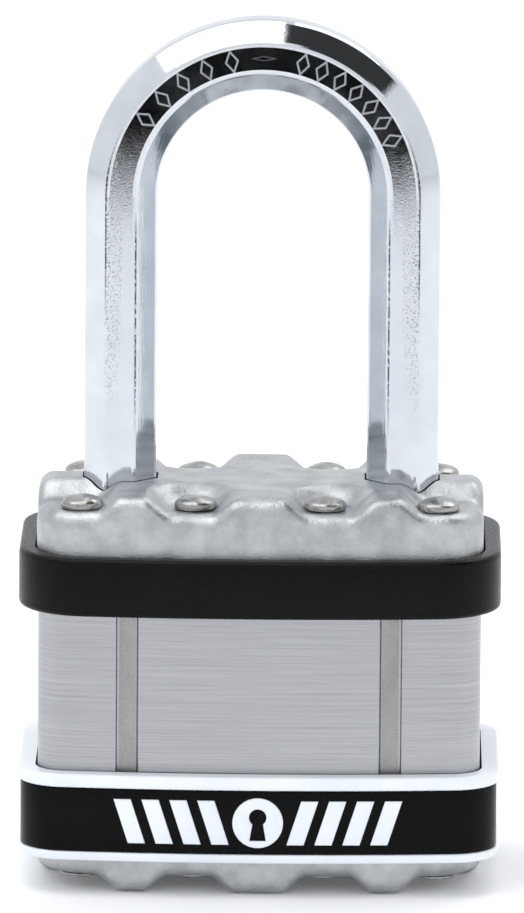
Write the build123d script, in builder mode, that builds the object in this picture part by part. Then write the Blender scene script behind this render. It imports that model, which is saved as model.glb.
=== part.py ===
from build123d import *
import math
import os

# Laminated padlock with an octagonal shackle and a dual ball locking mechanism.
# Units are millimetres, +Z is up, the front is -Y and z = 0 is the plane that the bottom cap rests on.
# The rest state is closed and unlocked: the plug is turned to open and the balls are drawn in.

# overall case
case_width = 44.45
case_depth = 25.5
case_bow = 1.3
case_corner = 4.6
case_top = 39.8
sheet = 1.2

# stamped caps
skirt_height = 8.8
pad_drop = 1.65
pad_slope = 34.0
inner_pad_x = 6.9
inner_pad_width = 8.2
corner_pad_x = 14.3
inner_pad_y = 4.3
corner_pad_y = 2.4
inner_pad_corner = 3.6
corner_pad_corner = 1.8
cap_edge_radius = 1.0
cap_hole_gap = 0.2
cap_cut_height = 8.0
cap_cut_start = 1.0
wall_tolerance = 0.05

# shackle
bar_flats = 7.13
bar_corner = 0.35
leg_x = 13.95
arch_z = 68.2
toe_end_z = 27.0
heel_end_z = 12.0
heel_round_top = 26.5
heel_round_radius = 3.5
toe_tip_height = 1.2
toe_tip_slope = 35.0
heel_chamfer = 0.9
shackle_travel = 13.5

# laminations
plate_count = 13
plate_clearance = 1.25
stack_gap = 0.05
stack_bottom = pad_drop + sheet + stack_gap
stack_top = case_top - stack_bottom
leg_hole_radius = 4.1
heel_well_plate = 1
toe_well_plate = 9

# sleeve and its grooves
sleeve_thickness = 1.1
groove_notch_room = 0.3
groove_x = 13.0
groove_width = 2.1
groove_depth = 0.6

# bumpers
band_proud = 1.75
bumper_low = 28.1
bumper_high = 33.9
bumper_edge = 0.5
carrier_low = 3.6
carrier_high = 12.3
inlay_low = 4.5
inlay_high = 10.95
inlay_inset = 0.9
inlay_proud = 1.6
channel_cut_room = 1.0
carrier_edge = 0.25

# raised motif on the front of the lower band
motif_z = (inlay_low + inlay_high) / 2
motif_height = 4.4
motif_disc_radius = 2.5
motif_bar_width = 1.7
motif_bar_pitch = 2.75
motif_bars_per_side = 4
motif_bar_lean = 18.0
motif_bar_gap = 1.9
motif_back = 2.0
motif_length = 4.0
motif_keyhole_radius = 0.85
motif_keyhole_offset = 0.55
motif_slot_width = 1.5
motif_slot_height = 1.9
motif_slot_angle = 75.0

# rivets
inner_rivet_x = 6.37
outer_rivet_x = 17.55
rivet_y = 8.5
rivet_radius = 1.6
rivet_head_radius = 2.1
rivet_head_rim = 0.4
rivet_head_height = 1.35
rivet_hole_gap = 0.05

# locking balls
ball_radius = 3.175
ball_z = 31.5
ball_x = 7.1
ball_travel = 1.5
ball_gap = 0.1
ball_notch_gap = 0.2

# cylinder
shell_radius = 7.3
shell_low = 2.95
shell_high = 26.0
shell_gap = 0.1
lobe_half_width = 2.4
lobe_reach = 10.4
plug_radius = 5.0
plug_gap = 0.1
plug_nose_radius = 4.8
plug_nose_low = 0.6
plug_nose_chamfer = 0.3
plug_flange_radius = 5.9
plug_flange_low = 1.45
plug_flange_high = 2.85
plug_high = 27.9
clip_low = 26.2
clip_high = 27.0
clip_inner_radius = 4.1
clip_outer_radius = 5.5
clip_gap_width = 3.0
keyway_high = 24.0
keyway_gap_width = 2.0
keyway_ward = 0.7
keyway_left = -3.2
keyway_right = 3.9
lower_ward_left = -1.2
lower_ward_right = 0.2
upper_ward_left = 2.2

# pins
pin_count = 5
pin_first_z = 6.0
pin_pitch = 3.6
pin_radius = 1.25
pin_hole_radius = 1.3
pin_tip_radius = 0.5
pin_tip_length = 0.7
key_pin_outer = 4.75
key_pin_lengths = [2.6, 3.3, 2.9, 3.6, 2.7]
driver_inner = 5.2
driver_length = 2.1
chamber_cap_thickness = 0.5
chamber_cap_width = 3.2
pin_spring_radius = 0.9
pin_spring_wire = 0.16
pin_spring_turns = 4

# rotor
rotor_radius = 5.25
rotor_low = 28.1
rotor_high = 34.9
rotor_room = 0.15
rotor_pocket_gap = 0.15
tang_width = 1.8
tang_reach = 3.6
tang_high = 29.4
tang_gap = 0.05

# spring under the heel leg
spring_radius = 2.7
spring_wire = 0.45
spring_turns = 5
spring_high = heel_end_z - stack_gap

# opening for the plug in the bottom cap
plug_opening_radius = 5.1

os.makedirs("parts", exist_ok=True)

plate_thickness = (stack_top - stack_bottom) / plate_count
plate_lows = [stack_bottom + index * plate_thickness for index in range(plate_count)]
rivet_places = [(x, y) for x in (-outer_rivet_x, -inner_rivet_x, inner_rivet_x, outer_rivet_x)
                for y in (-rivet_y, rivet_y)]


# Distance of the bowed front or back face from the middle plane, at a place x across the case.
def face_y(x, grow):
    half_width = case_width / 2
    bow_radius = (half_width ** 2 + case_bow ** 2) / (2 * case_bow)
    return case_depth / 2 + grow - (bow_radius - math.sqrt(bow_radius ** 2 - x ** 2))


groove_floor_y = face_y(groove_x, 0) - groove_depth


# Outline of the case seen from above, moved outwards by grow: straight sides, bowed front and back.
def case_outline(grow):
    half_width = case_width / 2 + grow
    side_y = case_depth / 2 - case_bow + grow
    front_y = case_depth / 2 + grow
    with BuildSketch() as outline:
        with BuildLine():
            Line((half_width, -side_y), (half_width, side_y))
            ThreePointArc((half_width, side_y), (0, front_y), (-half_width, side_y))
            Line((-half_width, side_y), (-half_width, -side_y))
            ThreePointArc((-half_width, -side_y), (0, -front_y), (half_width, -side_y))
        make_face()
        fillet(outline.vertices(), case_corner + grow)
    return outline.sketch


wall_face = case_outline(-wall_tolerance).face()


# Closed ring that follows the case, between two offsets of its outline.
def case_ring(inner, outer, low, high):
    with BuildPart() as ring:
        with BuildSketch(Plane.XY.offset(low)):
            add(case_outline(outer))
            add(case_outline(inner), mode=Mode.SUBTRACT)
        extrude(amount=high - low)
    return ring.part


# Solid form of a stamped cap, moved inwards by inset: a skirt, a flat top and eight sunken pads.
def cap_form(inset):
    top = case_top - inset
    low = case_top - skirt_height
    with BuildPart() as form:
        with BuildSketch(Plane.XY.offset(low)):
            add(case_outline(-inset))
        extrude(amount=top - low)
        growth = inset / 2
        inner_y = inner_pad_y - growth + case_depth / 2
        corner_y = corner_pad_y - growth + case_depth / 2
        corner_x = corner_pad_x - growth + case_width / 2
        with BuildSketch(Plane.XY.offset(top)):
            for side in (-1, 1):
                for face in (-1, 1):
                    with Locations((side * inner_pad_x, face * inner_y)):
                        RectangleRounded(inner_pad_width + 2 * growth, case_depth, inner_pad_corner)
                    with Locations((side * corner_x, face * corner_y)):
                        RectangleRounded(case_width, case_depth, corner_pad_corner)
        extrude(amount=-pad_drop, taper=pad_slope, mode=Mode.SUBTRACT)
    return form.part


# Octagonal bar section with softened corners.
def bar_section(extra):
    with BuildSketch() as section:
        RegularPolygon(bar_flats / 2 + extra, 8, major_radius=False, rotation=22.5)
        fillet(section.vertices(), bar_corner)
    return section.sketch


# Hollow stamped cap with its leg holes and rivet holes, built as the top cap.
def stamped_cap(has_leg_holes):
    with BuildPart() as cap:
        add(cap_form(0))
        rim_edges = cap.edges().filter_by(is_top_rim)
        fillet(rim_edges, cap_edge_radius)
        add(cap_form(sheet), mode=Mode.SUBTRACT)
        if has_leg_holes:
            for side in (-1, 1):
                with BuildSketch(Plane.XY.offset(case_top + cap_cut_start)):
                    with Locations((side * leg_x, 0)):
                        add(bar_section(cap_hole_gap))
                extrude(amount=-cap_cut_height, mode=Mode.SUBTRACT)
        with Locations([(x, y, case_top) for x, y in rivet_places]):
            Cylinder(rivet_radius + rivet_hole_gap, cap_cut_height, mode=Mode.SUBTRACT)
    return cap.part


# True for an edge of a cap's top that runs along the outer wall of the case.
def is_top_rim(edge):
    if edge.center().Z < case_top - pad_drop - wall_tolerance:
        return False
    points = [edge @ share for share in (0, 0.5, 1)]
    return all(not wall_face.is_inside(Vector(point.X, point.Y, 0)) for point in points)


# Helical compression spring between two heights, upright on the Z axis.
def coil_spring(low, high, radius, wire, turns):
    height = high - low - 2 * wire
    path = Pos(0, 0, low + wire) * Helix(pitch=height / turns, height=height, radius=radius)
    with BuildPart() as spring:
        with BuildSketch(Plane(origin=path @ 0, z_dir=path % 0)):
            Circle(wire)
        sweep(path=path, is_frenet=True)
    return spring.part


def save(piece, name):
    piece.label = name
    export_step(piece, f"parts/{name}.step")


# ---- shackle ----
with BuildPart() as shackle:
    tip_top = toe_end_z + toe_tip_height
    with BuildLine() as bow_path:
        Line((-leg_x, 0, tip_top), (-leg_x, 0, arch_z))
        ThreePointArc((-leg_x, 0, arch_z), (0, 0, arch_z + leg_x), (leg_x, 0, arch_z))
        Line((leg_x, 0, arch_z), (leg_x, 0, heel_round_top))
    with BuildSketch(Plane.XY.offset(tip_top)):
        with Locations((-leg_x, 0)):
            add(bar_section(0))
    sweep(path=bow_path.line)
    with BuildSketch(Plane.XY.offset(tip_top)):
        with Locations((-leg_x, 0)):
            add(bar_section(0))
    extrude(amount=-toe_tip_height, taper=toe_tip_slope)
    # the heel leg is turned round below the octagon so that it can swivel when it is lifted
    with BuildSketch(Plane.XY.offset(heel_end_z)):
        with Locations((leg_x, 0)):
            Circle(heel_round_radius)
    extrude(amount=heel_round_top - heel_end_z)
    heel_tip = shackle.faces().filter_by(Axis.Z).sort_by(Axis.Z)[0]
    chamfer(heel_tip.edges(), heel_chamfer)
    # a notch in each leg takes its ball
    for side in (-1, 1):
        with Locations((side * (ball_x + ball_travel), 0, ball_z)):
            Sphere(ball_radius + ball_notch_gap, mode=Mode.SUBTRACT)
    # a ring groove in the heel leg keeps it captive at full lift
    groove_z = ball_z - shackle_travel
    with BuildSketch(Plane.XZ):
        with Locations((ball_x + ball_travel, groove_z)):
            Circle(ball_radius + ball_notch_gap)
    revolve(axis=Axis((leg_x, 0, 0), (0, 0, 1)), mode=Mode.SUBTRACT)
save(shackle.part, "shackle")

# ---- stamped caps ----
with BuildPart() as top_cap:
    add(stamped_cap(True))
save(top_cap.part, "top_cap")

with BuildPart() as bottom_cap:
    add(stamped_cap(False).mirror(Plane.XY.offset(case_top / 2)))
    Cylinder(plug_opening_radius, cap_cut_height, mode=Mode.SUBTRACT)
save(bottom_cap.part, "bottom_cap")

# ---- sleeve ----
with BuildPart() as case_sleeve:
    sleeve_low = skirt_height
    sleeve_high = case_top - skirt_height
    add(case_ring(-sleeve_thickness, 0, sleeve_low, sleeve_high))
    rib_y = groove_floor_y - sleeve_thickness / 2
    for side in (-1, 1):
        for face in (-1, 1):
            with Locations((side * groove_x, face * rib_y, case_top / 2)):
                Box(groove_width + 2 * sleeve_thickness, sleeve_thickness, sleeve_high - sleeve_low)
            with Locations((side * groove_x, face * (groove_floor_y + groove_width / 2), case_top / 2)):
                Box(groove_width, groove_width, sleeve_high - sleeve_low, mode=Mode.SUBTRACT)
save(case_sleeve.part, "case_sleeve")

# ---- upper bumper ----
with BuildPart() as upper_bumper:
    add(case_ring(0, band_proud, bumper_low, bumper_high))
    flat_faces = upper_bumper.faces().filter_by(Axis.Z)
    for ring_face in (flat_faces.sort_by(Axis.Z)[0], flat_faces.sort_by(Axis.Z)[-1]):
        fillet(ring_face.outer_wire().edges(), bumper_edge)
save(upper_bumper.part, "upper_bumper")


# Motif seen from the front: a disc with a keyhole in it, between two rows of leaning bars.
def motif_prism():
    with BuildPart() as prism:
        with BuildSketch(Plane.XZ.offset(case_depth / 2 - motif_back)):
            with Locations((0, motif_z)):
                Circle(motif_disc_radius)
            for side in (-1, 1):
                for index in range(motif_bars_per_side):
                    bar_x = side * (motif_disc_radius + motif_bar_gap + index * motif_bar_pitch)
                    lean = motif_height / 2 * math.tan(math.radians(motif_bar_lean)) * side
                    half = motif_bar_width / 2
                    with Locations((bar_x, motif_z)):
                        Polygon(
                            (-half - lean, -motif_height / 2),
                            (half - lean, -motif_height / 2),
                            (half + lean, motif_height / 2),
                            (-half + lean, motif_height / 2),
                            align=None,
                        )
            with Locations((0, motif_z + motif_keyhole_offset)):
                Circle(motif_keyhole_radius, mode=Mode.SUBTRACT)
            with Locations((0, motif_z - motif_keyhole_offset)):
                Trapezoid(motif_slot_width, motif_slot_height, motif_slot_angle, mode=Mode.SUBTRACT)
        extrude(amount=motif_length)
    return prism.part


# ---- lower band ----
motif = motif_prism()
with BuildPart() as lower_band_carrier:
    add(case_ring(0, band_proud, carrier_low, carrier_high))
    flat_faces = lower_band_carrier.faces().filter_by(Axis.Z)
    for ring_face in (flat_faces.sort_by(Axis.Z)[0], flat_faces.sort_by(Axis.Z)[-1]):
        fillet(ring_face.outer_wire().edges(), carrier_edge)
    channel = case_ring(inlay_inset, band_proud + channel_cut_room, inlay_low, inlay_high)
    add(channel - motif, mode=Mode.SUBTRACT)
save(lower_band_carrier.part, "lower_band_carrier")

with BuildPart() as lower_band_inlay:
    add(case_ring(inlay_inset, inlay_proud, inlay_low, inlay_high))
    add(motif, mode=Mode.SUBTRACT)
save(lower_band_inlay.part, "lower_band_inlay")

# ---- rivets ----
dome_height = rivet_head_height - rivet_head_rim
dome_radius = (rivet_head_radius ** 2 + dome_height ** 2) / (2 * dome_height)
pad_top = case_top - pad_drop
with BuildPart() as rivet:
    with BuildSketch(Plane.XZ):
        with BuildLine():
            Line((0, case_top / 2), (rivet_radius, case_top / 2))
            Line((rivet_radius, case_top / 2), (rivet_radius, pad_top))
            Line((rivet_radius, pad_top), (rivet_head_radius, pad_top))
            Line((rivet_head_radius, pad_top), (rivet_head_radius, pad_top + rivet_head_rim))
            RadiusArc(
                (rivet_head_radius, pad_top + rivet_head_rim),
                (0, pad_top + rivet_head_height),
                -dome_radius,
            )
            Line((0, pad_top + rivet_head_height), (0, case_top / 2))
        make_face()
    revolve(axis=Axis.Z)
    mirror(about=Plane.XY.offset(case_top / 2))

with BuildPart() as rivets:
    with Locations([(x, y, 0) for x, y in rivet_places]):
        add(rivet.part)
save(rivets.part, "rivets")


# Leg wells, cylinder well, ball channel and rivet holes, cut from every plate they cross.
def stack_voids():
    with BuildPart() as voids:
        # cylinder well with its lobe for the pin chambers
        with BuildSketch():
            Circle(shell_radius + shell_gap)
            with Locations((0, (lobe_reach + shell_gap) / 2)):
                Rectangle(2 * (lobe_half_width + shell_gap), lobe_reach + shell_gap)
        extrude(amount=shell_high + shell_gap)
        # room for the clip and the rotor
        with BuildSketch(Plane.XY.offset(shell_high)):
            Circle(plug_flange_radius)
        extrude(amount=rotor_high + rotor_room - shell_high)
        # heel well, open down to the second plate, and the shorter toe well
        for side, floor in ((1, plate_lows[heel_well_plate]), (-1, plate_lows[toe_well_plate])):
            with BuildSketch(Plane.XY.offset(floor)):
                with Locations((side * leg_x, 0)):
                    Circle(leg_hole_radius)
            extrude(amount=case_top - floor)
        # ball channel from one leg well to the other
        with BuildSketch(Plane.YZ.offset(-leg_x)):
            with Locations((0, ball_z)):
                Circle(ball_radius + ball_gap)
        extrude(amount=2 * leg_x)
        with Locations([(x, y, case_top / 2) for x, y in rivet_places]):
            Cylinder(rivet_radius + rivet_hole_gap, case_top)
    return voids.part


# ---- laminations ----
voids = stack_voids()
notch_width = groove_width + 2 * (sleeve_thickness + groove_notch_room)
notch_floor_y = groove_floor_y - sleeve_thickness - stack_gap
for index, low in enumerate(plate_lows):
    with BuildPart() as plate:
        with BuildSketch(Plane.XY.offset(low)):
            add(case_outline(-plate_clearance))
            for side in (-1, 1):
                for face in (-1, 1):
                    with Locations((side * groove_x, face * (notch_floor_y + notch_width / 2))):
                        Rectangle(notch_width, notch_width, mode=Mode.SUBTRACT)
        extrude(amount=plate_thickness)
        add(voids, mode=Mode.SUBTRACT)
    save(plate.part, f"lamination_{index + 1:02d}")

# ---- cylinder shell ----
pin_heights = [pin_first_z + index * pin_pitch for index in range(pin_count)]
with BuildPart() as cylinder_shell:
    with BuildSketch(Plane.XY.offset(shell_low)):
        Circle(shell_radius)
        with Locations((0, lobe_reach / 2)):
            Rectangle(2 * lobe_half_width, lobe_reach)
        Circle(plug_radius + plug_gap, mode=Mode.SUBTRACT)
    extrude(amount=shell_high - shell_low)
    with BuildSketch(Plane.XZ):
        with Locations([(0, z) for z in pin_heights]):
            Circle(pin_hole_radius)
    extrude(amount=-lobe_reach, mode=Mode.SUBTRACT)
    # slot for the strip that closes the chambers
    cap_length = pin_pitch * pin_count
    cap_middle = pin_first_z + pin_pitch * (pin_count - 1) / 2
    with Locations((0, lobe_reach - chamber_cap_thickness / 2, cap_middle)):
        Box(chamber_cap_width, chamber_cap_thickness, cap_length, mode=Mode.SUBTRACT)
save(cylinder_shell.part, "cylinder_shell")

with BuildPart() as chamber_cap:
    with Locations((0, lobe_reach - chamber_cap_thickness / 2, cap_middle)):
        Box(chamber_cap_width, chamber_cap_thickness, cap_length)
save(chamber_cap.part, "chamber_cap")

# ---- cylinder plug ----
with BuildPart() as cylinder_plug:
    with BuildSketch(Plane.XY.offset(plug_nose_low)):
        Circle(plug_nose_radius)
    extrude(amount=plug_flange_low - plug_nose_low)
    nose_face = cylinder_plug.faces().sort_by(Axis.Z)[0]
    chamfer(nose_face.edges(), plug_nose_chamfer)
    with BuildSketch(Plane.XY.offset(plug_flange_low)):
        Circle(plug_flange_radius)
    extrude(amount=plug_flange_high - plug_flange_low)
    with BuildSketch(Plane.XY.offset(plug_flange_high)):
        Circle(plug_radius)
    extrude(amount=plug_high - plug_flange_high)
    # groove for the retainer clip
    with BuildSketch(Plane.XY.offset(clip_low)):
        Circle(plug_flange_radius)
        Circle(clip_inner_radius, mode=Mode.SUBTRACT)
    extrude(amount=clip_high - clip_low, mode=Mode.SUBTRACT)
    # tang that drives the rotor
    with BuildSketch(Plane.XY.offset(plug_high)):
        Rectangle(2 * tang_reach, tang_width)
    extrude(amount=tang_high - plug_high)
    # warded keyway, open at the nose, with its long side along X in the unlocked state
    with BuildSketch(Plane.XY.offset(plug_nose_low)):
        half = keyway_gap_width / 2
        with BuildLine():
            Polyline(
                (keyway_left, -half),
                (lower_ward_left, -half),
                (lower_ward_left, -half + keyway_ward),
                (lower_ward_right, -half + keyway_ward),
                (lower_ward_right, -half),
                (keyway_right, -half),
                (keyway_right, half - keyway_ward),
                (upper_ward_left, half - keyway_ward),
                (upper_ward_left, half),
                (keyway_left, half),
                close=True,
            )
        make_face()
    extrude(amount=keyway_high - plug_nose_low, mode=Mode.SUBTRACT)
    # chambers for the key pins point to -X while the plug is turned to open
    with BuildSketch(Plane.YZ.offset(-plug_radius)):
        with Locations([(0, z) for z in pin_heights]):
            Circle(pin_hole_radius)
    extrude(amount=plug_radius - keyway_gap_width / 2, mode=Mode.SUBTRACT)
save(cylinder_plug.part, "cylinder_plug")


# Pin with one tapered end, standing on the Z axis with its tip at the top.
def pin_blank(length):
    with BuildPart() as blank:
        with BuildSketch(Plane.XZ):
            with BuildLine():
                Polyline(
                    (0, 0),
                    (pin_radius, 0),
                    (pin_radius, length - pin_tip_length),
                    (pin_tip_radius, length),
                    (0, length),
                    close=True,
                )
            make_face()
        revolve(axis=Axis.Z)
    return blank.part


# ---- pins and their springs ----
for index, (z, length) in enumerate(zip(pin_heights, key_pin_lengths)):
    with BuildPart() as key_pin:
        with Locations(Plane(origin=(-key_pin_outer, 0, z), z_dir=(1, 0, 0))):
            add(pin_blank(length))
    save(key_pin.part, f"key_pin_{index + 1}")
    with BuildPart() as driver_pin:
        with Locations(Plane(origin=(0, driver_inner, z), z_dir=(0, 1, 0))):
            Cylinder(pin_radius, driver_length, align=(Align.CENTER, Align.CENTER, Align.MIN))
    save(driver_pin.part, f"driver_pin_{index + 1}")
    spring_low = driver_inner + driver_length
    spring_end = lobe_reach - chamber_cap_thickness
    coil = coil_spring(spring_low, spring_end, pin_spring_radius, pin_spring_wire, pin_spring_turns)
    with BuildPart() as pin_spring:
        with Locations(Plane(origin=(0, 0, z), z_dir=(0, 1, 0))):
            add(coil)
    save(pin_spring.part, f"pin_spring_{index + 1}")

# ---- retainer clip ----
with BuildPart() as plug_retainer_clip:
    with BuildSketch(Plane.XY.offset(clip_low)):
        Circle(clip_outer_radius)
        Circle(clip_inner_radius, mode=Mode.SUBTRACT)
        with Locations((0, -clip_outer_radius)):
            Rectangle(clip_gap_width, 2 * clip_outer_radius, mode=Mode.SUBTRACT)
    extrude(amount=clip_high - clip_low)
save(plug_retainer_clip.part, "plug_retainer_clip")

# ---- rotor ----
# Each pocket follows the path of a ball's centre as seen from the turning rotor.
ball_path_points = [
    ((ball_x + ball_travel * share) * math.cos(share * math.pi / 2),
     (ball_x + ball_travel * share) * math.sin(share * math.pi / 2))
    for share in (0, 0.5, 1)
]
with BuildPart() as rotor:
    with BuildSketch(Plane.XY.offset(rotor_low)):
        Circle(rotor_radius)
        with BuildLine(mode=Mode.PRIVATE) as ball_path:
            ThreePointArc(*ball_path_points)
        with PolarLocations(0, 2):
            SlotArc(ball_path.edge(), 2 * (ball_radius + rotor_pocket_gap), mode=Mode.SUBTRACT)
    extrude(amount=rotor_high - rotor_low)
    with BuildSketch(Plane.XY.offset(rotor_low)):
        Rectangle(2 * (tang_reach + tang_gap), tang_width + 2 * tang_gap)
    extrude(amount=tang_high + tang_gap - rotor_low, mode=Mode.SUBTRACT)
save(rotor.part, "rotor")

# ---- locking balls ----
for side, name in ((-1, "toe_ball"), (1, "heel_ball")):
    with BuildPart() as ball:
        with Locations((side * ball_x, 0, ball_z)):
            Sphere(ball_radius)
    save(ball.part, name)

# ---- spring under the heel leg ----
spring_seat = plate_lows[heel_well_plate] + stack_gap
heel_coil = coil_spring(spring_seat, spring_high, spring_radius, spring_wire, spring_turns)
with BuildPart() as shackle_spring:
    with Locations((leg_x, 0, 0)):
        add(heel_coil)
save(shackle_spring.part, "shackle_spring")
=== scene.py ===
import bpy
import bmesh
import math
import random
from mathutils import Matrix, Vector, noise


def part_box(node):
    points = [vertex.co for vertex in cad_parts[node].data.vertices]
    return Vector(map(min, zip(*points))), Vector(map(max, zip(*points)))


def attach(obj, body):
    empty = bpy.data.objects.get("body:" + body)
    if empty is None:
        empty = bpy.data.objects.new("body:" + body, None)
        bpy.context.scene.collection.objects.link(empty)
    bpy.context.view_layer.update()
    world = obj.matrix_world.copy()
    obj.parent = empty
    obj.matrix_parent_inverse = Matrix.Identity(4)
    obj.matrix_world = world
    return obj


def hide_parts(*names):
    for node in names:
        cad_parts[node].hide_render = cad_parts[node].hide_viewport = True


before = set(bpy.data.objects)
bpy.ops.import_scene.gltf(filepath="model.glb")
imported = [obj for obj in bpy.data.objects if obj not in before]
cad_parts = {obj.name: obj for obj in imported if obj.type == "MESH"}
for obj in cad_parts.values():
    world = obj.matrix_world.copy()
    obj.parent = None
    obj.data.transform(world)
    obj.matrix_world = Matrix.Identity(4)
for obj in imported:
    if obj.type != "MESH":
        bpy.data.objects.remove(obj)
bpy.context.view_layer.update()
mm = 0.001
print("frame loaded:", len(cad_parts), "nodes")

capLow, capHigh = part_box("top_cap")
sleeveLow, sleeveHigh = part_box("case_sleeve")
bumperLow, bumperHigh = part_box("upper_bumper")
carrierLow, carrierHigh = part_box("lower_band_carrier")
inlayLow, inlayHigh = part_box("lower_band_inlay")
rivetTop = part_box("rivets")[1].z
shackleLow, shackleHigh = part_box("shackle")

barFlats = shackleHigh.y - shackleLow.y     # across the shackle's flats
legX = shackleHigh.x - barFlats / 2         # from the middle to each leg's centre line
archZ = shackleHigh.z - shackleHigh.x       # where the legs end and the bend starts
caseShape = {
    "halfWide": capHigh.x - 0.2 * mm,  # half the steel body's width, drawn just inside the CAD's
    "halfDeep": capHigh.y,  # half its depth at the middle
    "bow": 1.3 * mm,        # how much the front and back swell from corner to middle
    "corner": 4.6 * mm,     # radius of the four upright corners
    "cornerSteps": 10,
    "longSide": 20 * mm,    # the front and back are longer than this, and the sides shorter
    "shortSide": 8 * mm,    # the sides are longer than this, and a corner's steps shorter
    "longCuts": 96,         # points along the front and back
    "shortCuts": 40,        # points along the sides
    "top": capHigh.z,
}
meshLimits = {
    "weld": 0.0005 * mm,    # points nearer than this are one point
    "sliver": 0.004 * mm,   # and in a cap's rings, where the corners crowd
    "cut": 0.001 * mm,      # and where a plane cuts through them
    "level": 0.01 * mm,     # two heights or places nearer than this are the same
    "fold": math.radians(40),  # a ring's lengthwise edges bend more than this
}


def hexColour(code):
    # sRGB hex to the linear values that shaders take
    parts = [int(code[i:i + 2], 16) / 255 for i in (1, 3, 5)]
    linear = [c / 12.92 if c <= 0.04045 else ((c + 0.055) / 1.055) ** 2.4 for c in parts]
    return (*linear, 1)


def addNode(tree, kind, settings=None, links=None):
    # settings name sockets, or the node's own options; links name sockets and what feeds them
    node = tree.nodes.new(kind)
    for key, value in (settings or {}).items():
        if isinstance(key, int) or key in node.inputs:
            node.inputs[key].default_value = value
        else:
            setattr(node, key, value)
    for key, source in (links or {}).items():
        tree.links.new(source, node.inputs[key])
    return node


def smoothStep(value):
    value = min(1.0, max(0.0, value))
    return value * value * (3 - 2 * value)


def newPiece(name, bm, materials, body, replaced, smoothAngle):
    bmesh.ops.remove_doubles(bm, verts=bm.verts, dist=meshLimits["weld"])
    bmesh.ops.recalc_face_normals(bm, faces=bm.faces)
    mesh = bpy.data.meshes.new(name)
    bm.to_mesh(mesh)
    bm.free()
    piece = bpy.data.objects.new(name, mesh)
    bpy.context.scene.collection.objects.link(piece)
    for material in materials:
        mesh.materials.append(material)
    mesh.shade_smooth()
    mesh.set_sharp_from_angle(angle=math.radians(smoothAngle))
    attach(piece, body)
    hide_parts(replaced)


def carve(bm, cutters):
    # takes the shapes in cutters out of bm and gives a new bmesh
    def asObject(name, source):
        mesh = bpy.data.meshes.new(name)
        bmesh.ops.recalc_face_normals(source, faces=source.faces)
        source.to_mesh(mesh)
        source.free()
        made = bpy.data.objects.new(name, mesh)
        bpy.context.scene.collection.objects.link(made)
        return made

    base = asObject("carveBase", bm)
    tools = [asObject("carveTool", cutter) for cutter in cutters]
    for tool in tools:
        step = base.modifiers.new("cut", "BOOLEAN")
        step.operation = "DIFFERENCE"
        step.solver = "EXACT"
        step.object = tool
    graph = bpy.context.evaluated_depsgraph_get()
    result = bmesh.new()
    result.from_mesh(base.evaluated_get(graph).to_mesh())
    for made in [base] + tools:
        mesh = made.data
        bpy.data.objects.remove(made)
        bpy.data.meshes.remove(mesh)
    return result


def bowDrop(x):
    # how far the bowed face falls back from its middle at x
    radius = (caseShape["halfWide"] ** 2 + caseShape["bow"] ** 2) / (2 * caseShape["bow"])
    return radius - math.sqrt(radius ** 2 - min(abs(x), caseShape["halfWide"]) ** 2)


def outlineLoop(bm, grow, height, corner):
    # a closed loop of edges along the case's outline, moved outwards by grow
    made = bmesh.ops.create_grid(bm, x_segments=1, y_segments=1, size=1)
    wide = caseShape["halfWide"] + grow
    deep = caseShape["halfDeep"] + grow
    bmesh.ops.scale(bm, vec=(wide, deep, 1), verts=made["verts"])
    rounded = bmesh.ops.bevel(
        bm, geom=made["verts"], offset=corner + grow, segments=caseShape["cornerSteps"],
        profile=0.5, affect="VERTICES", material=-1,
    )
    face = rounded["verts"][0].link_faces[0]
    longEdges = [e for e in face.edges if e.calc_length() > caseShape["longSide"]]
    shortEdges = [e for e in face.edges if caseShape["shortSide"] < e.calc_length() <= caseShape["longSide"]]
    bmesh.ops.delete(bm, geom=[face], context="FACES_ONLY")
    bmesh.ops.subdivide_edges(bm, edges=longEdges, cuts=caseShape["longCuts"])
    bmesh.ops.subdivide_edges(bm, edges=shortEdges, cuts=caseShape["shortCuts"])
    loop = [v for v in bm.verts if v.co.z == 0]  # earlier loops have been raised already
    for v in loop:
        share = min(1, abs(v.co.y) / (caseShape["halfDeep"] - corner))
        v.co.y -= math.copysign(bowDrop(v.co.x) * share, v.co.y)
        v.co.z = height
    return loopOf(bm, loop)


def loopOf(bm, verts):
    chosen = set(verts)
    return [e for e in bm.edges if e.verts[0] in chosen and e.verts[1] in chosen]


def pull(bm, edges, shift=(0, 0, 0)):
    # draws new faces out of the edges and gives their far points
    made = bmesh.ops.extrude_edge_only(bm, edges=edges)["geom"]
    verts = [g for g in made if isinstance(g, bmesh.types.BMVert)]
    bmesh.ops.translate(bm, vec=shift, verts=verts)
    return verts


def wayOut(point, corner):
    # the level direction straight out of the case's wall at a point on it
    x = abs(point.x) - (caseShape["halfWide"] - corner)
    y = abs(point.y) + bowDrop(point.x) - (caseShape["halfDeep"] - corner)
    if x > 0 and y > 0:
        way = Vector((x, y, 0)).normalized()
    else:
        way = Vector((1, 0, 0)) if x > 0 else Vector((0, 1, 0))
    return Vector((math.copysign(way.x, point.x), math.copysign(way.y, point.y), 0))


def pullRing(bm, edges, outward, rise, corner):
    # one more ring of faces: each point goes outward and up from the last ring
    verts = pull(bm, edges)
    for v in verts:
        v.co += wayOut(v.co, corner) * outward + Vector((0, 0, rise))
    return loopOf(bm, verts)


def bandSection(section, corner):
    # a closed ring round the case: section lists (outwards, height) points in millimetres
    bm = bmesh.new()
    grow, height = section[0]
    first = outlineLoop(bm, grow * mm, height * mm, corner)
    edges = first
    for (oldGrow, oldHeight), (grow, height) in zip(section, section[1:]):
        edges = pullRing(bm, edges, (grow - oldGrow) * mm, (height - oldHeight) * mm, corner)
    bmesh.ops.bridge_loops(bm, edges=first + edges)
    bmesh.ops.recalc_face_normals(bm, faces=bm.faces)
    return bm


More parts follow.
